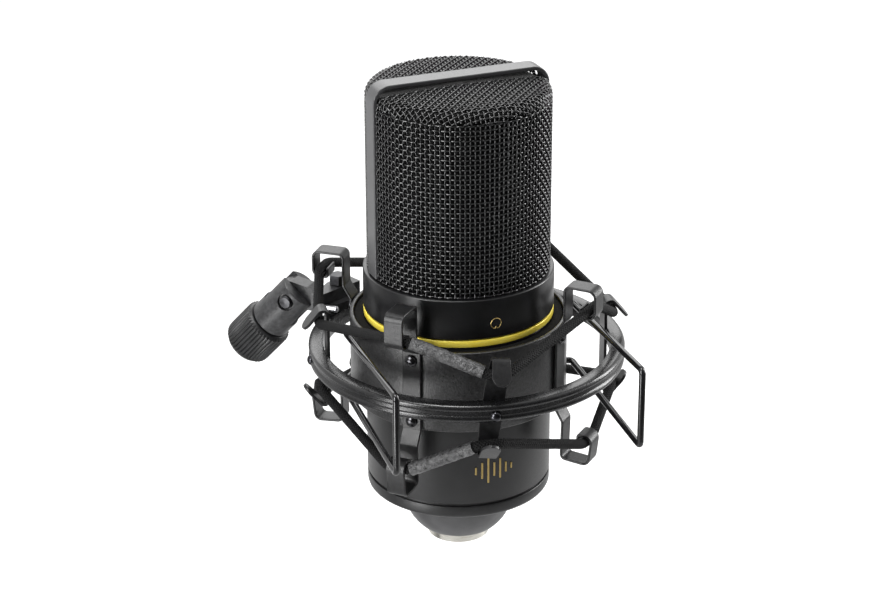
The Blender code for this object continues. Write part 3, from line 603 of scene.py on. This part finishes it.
def weave_half(side):
    """One half of the grille: woven wires on the wall and over the domed top."""
    bm = bmesh.new()
    lift = WEAVE_WIRE * WEAVE_RISE
    keep = FRAME_WIDTH / 2 + WEAVE_FRAME_CLEAR
    wall_top = GRILLE_TOP - SHOULDER - WEAVE_TOP_CLEAR
    foot = COLLAR_TOP + WEAVE_FOOT_CLEAR
    around = round(2 * math.pi * GRILLE_RADIUS / WEAVE_PITCH / 2) * 2
    step = 2 * math.pi * GRILLE_RADIUS / around
    rows = int((wall_top - foot) / WEAVE_PITCH)
    wires = []

    def inside(point):
        return point if point.y * side > keep else None

    for i in range(around):
        line = []
        for j in range(rows * 2 + 1):
            wave = math.cos(math.pi * (j / 2 + i))
            line.append(inside(on_wall(i * step, foot + j * WEAVE_PITCH / 2, lift * wave)))
        wires += runs(line)
    for j in range(rows + 1):
        line = []
        for i in range(around * 2 + 1):
            wave = -math.cos(math.pi * (i / 2 + j))
            line.append(inside(on_wall(i * step / 2, foot + j * WEAVE_PITCH, lift * wave)))
        wires += runs(line)
    limit = GRILLE_RADIUS - SHOULDER + SHOULDER * math.pi / 2 + WEAVE_OVERLAP
    count = int(limit / WEAVE_PITCH) + 1
    for flip in (False, True):
        for i in range(-count, count + 1):
            line = []
            for j in range(-count * 2, count * 2 + 1):
                u, v = i * WEAVE_PITCH, j * WEAVE_PITCH / 2
                wave = math.cos(math.pi * (j / 2 + i)) * (-1 if flip else 1)
                if flip:
                    u, v = v, u
                point = on_dome(u, v, lift * wave)
                line.append(inside(point) if math.hypot(u, v) < limit else None)
            wires += runs(line)
    for line in wires:
        sweep_into(bm, line, WEAVE_WIRE, 6)
    return finish_mesh("weave", bm, 70.0)


def build_grille():
    for side, half in ((-1, "grille_front"), (1, "grille_rear")):
        add(half + "_weave", weave_half(side), GRILLE_WIRE, "microphone", [half])
    leg = FRAME_RADIUS - FRAME_THICK / 2
    top = FRAME_TOP - FRAME_THICK / 2
    foot = COLLAR_TOP + GAP
    corners = [(-leg, 0, foot), (-leg, 0, top), (leg, 0, top), (leg, 0, foot)]
    path = rounded(corners, [FRAME_BEND, FRAME_BEND], 14)
    mesh = ribbon("frame_bar", path, lambda i: FRAME_WIDTH, FRAME_THICK)
    bevel(add("frame_bar", mesh, BAR_PAINT, "microphone", ["grille_frame"]), 0.35, 3)


# ---- body -----------------------------------------------------------------------------------
def build_body():
    collar = rounded_box(COLLAR_INNER, COLLAR_RADIUS, COLLAR_BOTTOM, COLLAR_TOP, 0.45)
    add("collar_shell", lathe("collar", collar), COLLAR_PAINT, "microphone", ["collar"])
    ring = rounded_box(GOLD_INNER, COLLAR_RADIUS, GOLD_BOTTOM, COLLAR_BOTTOM - GAP, 0.35)
    add("gold_trim", lathe("gold", ring), GOLD, "microphone", ["gold_ring"])
    tube = rounded_box(BODY_INNER, BODY_RADIUS, BODY_BOTTOM, GOLD_BOTTOM - GAP, 0.3)
    add("body_shell", lathe("body", tube), BODY_PAINT, "microphone", ["body_tube"])
    rim = BODY_BOTTOM - BASE_RIM
    base = [(BASE_INNER, BASE_BOTTOM)]
    base += arc((BODY_RADIUS - BASE_ROUND, BASE_BOTTOM + BASE_ROUND), BASE_ROUND, -90, 0, 6)
    base += arc((BODY_RADIUS - 0.3, rim - 0.3), 0.3, 0, 90, 4)
    base += [(BASE_NECK, rim), (BASE_NECK, BODY_BOTTOM - GAP), (BASE_INNER, BODY_BOTTOM - GAP)]
    add("base_shell", lathe("base", base), BODY_PAINT, "microphone", ["base_ring"])
    cone = [(CONE_INNER, CONE_CURVE[0][1])] + CONE_CURVE
    cone += [(CONE_CURVE[-1][0], CONE_TOP), (CONE_INNER, CONE_TOP)]
    add("connector_cone", lathe("cone", cone), CONE, "microphone", ["connector_housing"])
    shell = rounded_box(SHELL_INNER, SHELL_OUTER, 0.0, SHELL_TOP, 0.3)
    add("connector_shell", lathe("shell", shell, 96), SILVER, "microphone", ["xlr_shell"])


def wrap(x, z, radius):
    """A point drawn on the body's front, x along the surface and z up."""
    angle = x / radius
    return Vector((radius * math.sin(angle), -radius * math.cos(angle), z))


def build_marks():
    """A heart-shaped pickup sign on the collar, and a plain sound-wave mark on the body."""
    bm = bmesh.new()
    centre = (0.0, SIGN_HEIGHT)
    outline = SIGN_NOTCH + arc(centre, SIGN_RADIUS, -72, 90, 24)
    outline += arc(centre, SIGN_RADIUS, 96, 252, 24)
    outline += [(-x, z) for x, z in reversed(SIGN_NOTCH)]
    line = [wrap(x, z, COLLAR_RADIUS + INK_PROUD) for x, z in outline]
    sweep_into(bm, line, SIGN_LINE, 8)
    add("pickup_sign", finish_mesh("sign", bm), GOLD_INK, "microphone")
    bm = bmesh.new()
    for i, tall in enumerate(WAVE_BARS):
        x = (i - len(WAVE_BARS) // 2) * WAVE_STEP
        line = [wrap(x, WAVE_HEIGHT + tall * t, BODY_RADIUS + INK_PROUD) for t in (-1, -0.5, 0, 0.5, 1)]
        sweep_into(bm, line, WAVE_LINE, 8)
    add("wave_mark", finish_mesh("wave", bm), GOLD_INK, "microphone")


# ---- cradle ---------------------------------------------------------------------------------
def strap_path(side):
    """A strap's centre line in its own radial plane, from lip to lip."""
    _, top, seat, low_seat, bottom, lean = STRAPS[side]
    inner, outer, lip = HOOK_INNER + lean, HOOK_OUTER + lean, HOOK_LIP + lean   # lower hook
    corners = [(HOOK_LIP, seat + LIP_RISE), (HOOK_LIP, seat), (HOOK_OUTER, seat),
               (HOOK_OUTER, top), (HOOK_INNER, top), (HOOK_INNER, STRAP_STEP),
               (STRAP_RADIUS, STRAP_FLAT), (STRAP_RADIUS, -STRAP_FLAT), (inner, -STRAP_STEP),
               (inner - FOOT_SLOPE, bottom + FOOT_SLOPE), (outer - FOOT_LEAN, bottom - FOOT_SLOPE),
               (outer, low_seat), (lip, low_seat), (lip, low_seat - LIP_RISE)]
    return rounded([Vector((r, 0, z)) for r, z in corners], HOOK_BENDS + HOOK_BENDS[::-1], 7)


def rivet_outline(head, tall):
    """A rivet's pin and its domed head, which starts with a short straight rim."""
    dome = [(head * math.cos(math.radians(a)), tall * (0.3 + 0.7 * math.sin(math.radians(a))))
            for a in range(0, 90, 10)]
    pin = [(0.0, -RIVET_DEPTH), (RIVET_PIN, -RIVET_DEPTH), (RIVET_PIN, 0.0)]
    return pin + [(head, 0.0)] + dome + [(0.0, tall)]


def on_side(mesh):
    """Lay a turned mesh down, so that its axis points outwards."""
    mesh.transform(Matrix.Rotation(math.radians(90), 4, 'Y'))
    return mesh


def build_cradle():
    start = BAND_GAP_BEARING + BAND_GAP_DEG / 2
    sweep = 360.0 - BAND_GAP_DEG
    low = CRADLE_MIDDLE - BAND_HALF
    high = CRADLE_MIDDLE + BAND_HALF
    band = rounded_box(BAND_RADIUS - BAND_THICK, BAND_RADIUS, low, high, 0.4)
    add("band", lathe("band", band, 150, start, sweep), BAND, "cradle", ["cradle_band"])
    foam = rounded_box(BODY_RADIUS + GAP, BAND_RADIUS - BAND_THICK - 0.1, low + 0.8, high - 0.8, 0.5)
    add("foam", lathe("foam", foam, 120, start + 1, sweep - 2), FOAM, "cradle", ["foam_liner"])
    centre = (0, 0, CRADLE_MIDDLE)
    for side in STRAPS:
        bearing = STRAPS[side][0]
        mesh = ribbon("strap", strap_path(side), lambda i: STRAP_WIDTH, STRAP_THICK)
        strap = add("hook_" + side, mesh, STRAP, "cradle", ["strap_" + side], bearing, centre)
        bevel(strap, 0.28, 2)
        for level, height in (("upper", RIVET_OFFSET), ("lower", -RIVET_OFFSET)):
            mesh = on_side(lathe("rivet", rivet_outline(RIVET_HEAD, RIVET_RISE), 32))
            seat = toward(bearing, STRAP_RADIUS + STRAP_THICK / 2 + 0.02, CRADLE_MIDDLE + height)
            name = f"{side}_{level}"
            add("dome_" + name, mesh, RIVET, "cradle", ["rivet_" + name], bearing, seat)


def build_handles():
    for name, (side, sideways, forwards) in HANDLES.items():
        bearing = HANDLE_BEARING + 90.0 * side
        inside = BAND_RADIUS - HANDLE_INSIDE - HANDLE_PIVOT
        out = sideways - HANDLE_PIVOT
        reach = -side * forwards
        half = [Vector((inside, 0, HANDLE_HOLE)), Vector((out, 0, HANDLE_HOLE)),
                Vector((out, reach, HANDLE_SPREAD))]
        points = half + [Vector((p.x, p.y, -p.z)) for p in reversed(half)]
        bm = bmesh.new()
        sweep_into(bm, soften(points, HANDLE_BEND, 8), HANDLE_WIRE, 20)
        centre = toward(bearing, HANDLE_PIVOT, CRADLE_MIDDLE)
        mesh = finish_mesh("handle", bm)
        add(name + "_wire", mesh, WIRE, name, [name], bearing, centre)


# ---- ring ------------------------------------------------------------------------------------
def ring_outline():
    """The ring's section, with two round ridges on its outer face."""
    ridge = RING_RADIUS - RIDGE_RADIUS
    corner = [(RING_INNER, RING_HALF - RING_EDGE), (RING_INNER + RING_CORNER, RING_HALF - RING_CORNER),
              (RING_INNER + RING_EDGE, RING_HALF)]
    outline = [(r, -z) for r, z in corner]
    outline += arc((ridge, -RIDGE_OFFSET), RIDGE_RADIUS, -90, 62, 9)
    outline += arc((ridge, RIDGE_OFFSET), RIDGE_RADIUS, -62, 90, 9)
    return outline + corner[::-1]


def bracket_path():
    """A bracket's centre line in its own radial plane, with a tongue bent out at each end."""
    points = [(TONGUE_TIP, BRACKET_HALF - TONGUE_DROP), (BRACKET_RADIUS, BRACKET_HALF),
              (BRACKET_RADIUS, BRACKET_MIDDLE), (BRACKET_RADIUS, -BRACKET_MIDDLE),
              (BRACKET_RADIUS, -BRACKET_HALF), (TONGUE_TIP, -BRACKET_HALF + TONGUE_DROP)]
    bent = rounded([Vector((r, 0, z)) for r, z in points], [BEND_RADIUS, 0, 0, BEND_RADIUS], 8)
    first = bent[0]
    last = bent[-1]
    tip = (bent[1] - first).normalized()
    tail = (bent[-2] - last).normalized()
    return ([first] + [first + tip * d for d in TONGUE_STEPS] + bent[1:-1]
            + [last + tail * d for d in reversed(TONGUE_STEPS)] + [last])


def bracket_width(path):
    """The strip's width at each point: round tongues, and widest at the middle."""
    round_end = TONGUE_WIDTH / 2

    def width(i):
        reach = min((path[i] - path[0]).length, (path[i] - path[-1]).length)
        if reach < round_end:
            return max(2 * math.sqrt(round_end ** 2 - (round_end - reach) ** 2), TIP_WIDTH)
        straight = BRACKET_HALF - BEND_REACH
        return TONGUE_WIDTH + BRACKET_SWELL * max(0.0, (straight - abs(path[i].z)) / straight)
    return width


def build_ring():
    centre = RING_CENTRE + Vector((0, 0, RING_MIDDLE))
    mesh = lathe("ring", ring_outline(), 220)
    add("ring_body", mesh, RING_PAINT, "ring", ["outer_ring"], 90.0, centre)
    for side, (bearing, lean, lift, _, _) in BRACKETS.items():
        path = bracket_path()
        mesh = ribbon("bracket", path, bracket_width(path), BRACKET_THICK)
        mesh.transform(Matrix.Rotation(math.radians(lean), 4, 'X'))
        name = "bracket_" + side
        place = centre + Vector((0, 0, lift))
        bevel(add(name + "_sheet", mesh, STRAP, "ring", [name], bearing, place), 0.2, 2)
        mesh = on_side(lathe("ring_rivet", rivet_outline(RING_RIVET_HEAD, RING_RIVET_RISE), 28))
        seat = centre + toward(bearing, RING_RADIUS - RING_RIVET_SINK, -RING_RIVET_DROP)
        name = "ring_rivet_" + side
        add(name + "_dome", mesh, RING_RIVET, "ring", [name], bearing, seat)


# ---- cords -------------------------------------------------------------------------------------
def straight_run(body, bearing, centre, radius, height, half, aside=0.0):
    """The short straight piece of cord that lies in a hook or in a bracket."""
    middle = centre + toward(bearing, radius) + toward(bearing + 90.0, aside)
    middle.z = height
    along = toward(bearing + 90.0, half)
    return body, middle - along, middle + along


def cord_stops(upper):
    """(body, first end, last end) of each straight run, in order round the mount."""
    stops = []
    axis = Vector((0, 0, 0))
    for (bearing, lean, _, high, low), strap in zip(BRACKETS.values(), CORD_ORDER):
        height = high if upper else low
        aside = (RING_MIDDLE - height) * math.sin(math.radians(lean))
        stops.append(straight_run("ring", bearing, RING_CENTRE, CORD_RING_RADIUS, height,
                                  BRACKET_GUIDE, aside))
        bearing, _, seat, low_seat, _, lean = STRAPS[strap]
        height = CRADLE_MIDDLE + (seat + CORD_ON_SEAT if upper else low_seat - CORD_ON_SEAT)
        radius = CORD_HOOK_RADIUS + (0.0 if upper else lean)
        stops.append(straight_run("cradle", bearing, axis, radius, height, HOOK_GUIDE))
    return stops


def cord_piece(name, path, radius, sides, shader, replaces, shape=None):
    """A piece of cord or sleeve, swept along its path, set in place and tied to no body."""
    bm = bmesh.new()
    uv = bm.loops.layers.uv.new("UVMap")
    sweep_into(bm, path, radius, sides, uv, shape=shape)
    item = add(name, finish_mesh(name, bm, 80.0), shader, None, replaces)
    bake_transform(item)


def divided(points, step):
    """The same path with points no further apart than step."""
    path = [points[0]]
    for a, b in zip(points, points[1:]):
        count = max(1, math.ceil((b - a).length / step))
        path += [a.lerp(b, k / count) for k in range(1, count + 1)]
    return path


def sleeve_lumps(along, angle):
    """How much the sleeve swells over the knots and folds under it."""
    wave = math.sin(along * 1.9 + 2.0 * math.sin(angle)) * math.sin(along * 0.7 + angle)
    return 1.0 + 0.035 * wave + 0.02 * math.sin(along * 4.3 + angle * 3)


def build_cords():
    for side in ("upper", "lower"):
        stops = cord_stops(side == "upper")
        for index, (body, start, end) in enumerate(stops):
            next_body, there, beyond = stops[(index + 1) % len(stops)]
            corners = [(start + end) / 2, end, there, (there + beyond) / 2]
            path = divided(soften(corners, CORD_BEND, 6), CORD_STEP)
            name = f"cord_{side}_{index + 1}"
            cord_piece(name, path, CORD_RADIUS, 20, CORD, ["elastic_" + side])
        body, _, end = stops[-1]
        next_body, there, _ = stops[0]
        along = (there - end).normalized()
        first = end + along * SLEEVE_START
        last = there - along * SLEEVE_END
        path = [first.lerp(last, i / SLEEVE_STEPS) for i in range(SLEEVE_STEPS + 1)]
        cord_piece("sleeve_" + side + "_tube", path, SLEEVE_OUTER, 24, SLEEVE,
                   ["sleeve_" + side], sleeve_lumps)


# ---- adapter ---------------------------------------------------------------------------------------
def build_nut():
    """The ribbed nut; local +X runs down the adapter's axis from the pivot."""
    bm = bmesh.new()
    rows = []
    count = NUT_RIBS * RIB_STEPS
    for i in range(count):
        angle = 2 * math.pi * i / count
        ray = Vector((0.0, math.cos(angle), math.sin(angle)))
        wave = abs(math.sin(math.pi * i / RIB_STEPS)) ** 0.7
        outer = NUT_RADIUS - RIB_DEPTH + RIB_DEPTH * wave
        outline = [(NUT_BORE, NUT_START), (6.6, NUT_START), (6.9, NUT_START + 0.15), (7.1, NUT_START + 0.5),
                   (outer, NUT_START + 0.9), (outer, NUT_END - 2.2), (outer - 0.15, NUT_END - 1.4),
                   (7.0, NUT_END - 0.7), (6.6, NUT_END - 0.15), (6.2, NUT_END), (5.1, NUT_END),
                   (NUT_BORE, NUT_END - 0.35)]
        rows.append([bm.verts.new((ray * r + Vector((x, 0, 0))) * MM) for r, x in outline])
    for here, there in zip(rows, rows[1:] + rows[:1]):
        for j in range(len(here)):
            k = (j + 1) % len(here)
            bm.faces.new([here[j], here[k], there[k], there[j]])
    centre = RING_CENTRE + toward(ARM_BEARING, PIVOT_RADIUS, PIVOT_HEIGHT)
    mesh = finish_mesh("nut", bm, 50.0)
    add("ribbed_nut", mesh, NUT_PAINT, "stand_nut", ["knurled_nut"], ARM_BEARING, centre,
        STAND_TILT)


CAD_MATERIALS = {
    "inner_screen": SCREEN, "capsule_deck": CHASSIS, "capsule_post": CHASSIS, "capsule": BRASS,
    "diaphragm": FILM, "chassis": CHASSIS, "circuit_board": BOARD, "capacitor": CAPACITOR,
    "xlr_insert": INSERT, "xlr_pin_1": SILVER, "xlr_pin_2": SILVER, "xlr_pin_3": SILVER,
    "swivel_arm": ARM_PAINT, "arm_bolt": DARK_STEEL, "arm_screw": STEEL, "yoke": YOKE_PAINT,
    "pivot_screw": PIVOT_STEEL, "pivot_nut": PIVOT_STEEL,
}


def dress_nodes():
    """Give the CAD's own nodes that stay in sight their materials and soft edges."""
    for name, shader in CAD_MATERIALS.items():
        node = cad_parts[name]
        for slot in node.material_slots:
            slot.material = shader.mat
        if name in ("swivel_arm", "yoke", "arm_bolt"):
            bevel(node, 0.25, 2, 35.0)


# ---- stage --------------------------------------------------------------------------------------------
CAMERA_DISTANCE = 0.750
CAMERA_BACK = Vector((-0.3492, -0.8472, 0.4003)).normalized()
CAMERA_TARGET = MIC + Vector((0, 0, 77.39)) * MM
LENS = 103.46
SENSOR = 36.0
SHIFT = -0.0258
FLOOR_DROP = 0.12             # m from the part's lowest point down to the floor
FLOOR_HALF = 4.0
LIT_HEIGHT = 80.0             # the height on the microphone that the lights are set round


def build_camera():
    data = bpy.data.cameras.new("camera")
    data.lens = LENS
    data.sensor_width = SENSOR
    data.shift_x = SHIFT
    camera = bpy.data.objects.new("camera", data)
    bpy.context.collection.objects.link(camera)
    camera.location = CAMERA_TARGET + CAMERA_BACK * CAMERA_DISTANCE
    camera.rotation_mode = 'QUATERNION'
    camera.rotation_quaternion = (-CAMERA_BACK).to_track_quat('-Z', 'Y')
    bpy.context.scene.camera = camera


def area_light(name, place, target, size, power, size_y=None):
    """A soft box; places and sizes in metres, power in watts."""
    data = bpy.data.lights.new(name, 'AREA')
    data.energy = power
    data.size = size
    if size_y:
        data.shape = 'RECTANGLE'
        data.size_y = size_y
    item = bpy.data.objects.new(name, data)
    bpy.context.collection.objects.link(item)
    item.location = place
    item.visible_camera = False
    item.rotation_euler = (Vector(target) - Vector(place)).to_track_quat('-Z', 'Y').to_euler()


def build_stage():
    floor = bmesh.new()
    bmesh.ops.create_grid(floor, x_segments=2, y_segments=2, size=FLOOR_HALF)
    mesh = bpy.data.meshes.new("floor")
    floor.to_mesh(mesh)
    floor.free()
    item = bpy.data.objects.new("floor", mesh)
    bpy.context.collection.objects.link(item)
    item.location = (0, 0, CAD_BOX[0].z - FLOOR_DROP)
    pale = Shader("floor_pale").set(Roughness=0.9, Specular_IOR_Level=0.1)
    pale.colour(pale.noise(3.0, 3.0), [(0.0, (0.93, 0.93, 0.93)), (1.0, (0.95, 0.95, 0.95))])
    mesh.materials.append(pale.mat)
    item.visible_glossy = False
    build_world()
    middle = MIC + Vector((0, 0, LIT_HEIGHT)) * MM
    area_light("back_box", middle + Vector((0.15, 0.85, 0.5)), middle, 0.9, 3.0, 0.5)
    area_light("top_box", middle + Vector((-0.15, -0.05, 0.85)), middle, 0.3, 4.0)
    area_light("left_box", middle + Vector((-0.85, -0.35, 0.35)), middle, 0.3, 9.0, 0.7)
    area_light("right_box", middle + Vector((0.85, 0.0, 0.25)), middle, 0.2, 6.0, 0.7)
    area_light("low_card", middle + Vector((-0.40, -0.145, -0.15)), middle, 0.14, 0.7)
    near = middle + Vector((-0.05, -0.13, 0.0))
    near.z = item.location.z + 0.02
    area_light("table_card", near, near + Vector((0, 0, 1)), 0.6, 0.42, 0.3)
    bpy.context.scene.view_settings.view_transform = 'Standard'


def build_world():
    """White behind and above, fading to dark in front and below."""
    world = bpy.data.worlds.new("studio")
    bpy.context.scene.world = world
    world.use_nodes = True
    tree = world.node_tree
    coords = tree.nodes.new("ShaderNodeTexCoord")
    dot = tree.nodes.new("ShaderNodeVectorMath")
    dot.operation = 'DOT_PRODUCT'
    dot.inputs[1].default_value = (-0.30, -0.85, -0.42)
    tree.links.new(coords.outputs["Generated"], dot.inputs[0])
    ramp = tree.nodes.new("ShaderNodeMapRange")
    ramp.interpolation_type = 'SMOOTHSTEP'
    ramp.inputs["From Min"].default_value = -0.6
    ramp.inputs["From Max"].default_value = 0.55
    ramp.inputs["To Min"].default_value = 1.0
    ramp.inputs["To Max"].default_value = 0.06
    tree.links.new(dot.outputs["Value"], ramp.inputs["Value"])
    tree.links.new(ramp.outputs[0], tree.nodes["Background"].inputs["Strength"])
    tree.nodes["Background"].inputs["Color"].default_value = (1.0, 1.0, 1.0, 1.0)


build_camera()
build_grille()
build_body()
build_marks()
build_cradle()
build_handles()
build_ring()
build_cords()
build_nut()
dress_nodes()
build_stage()
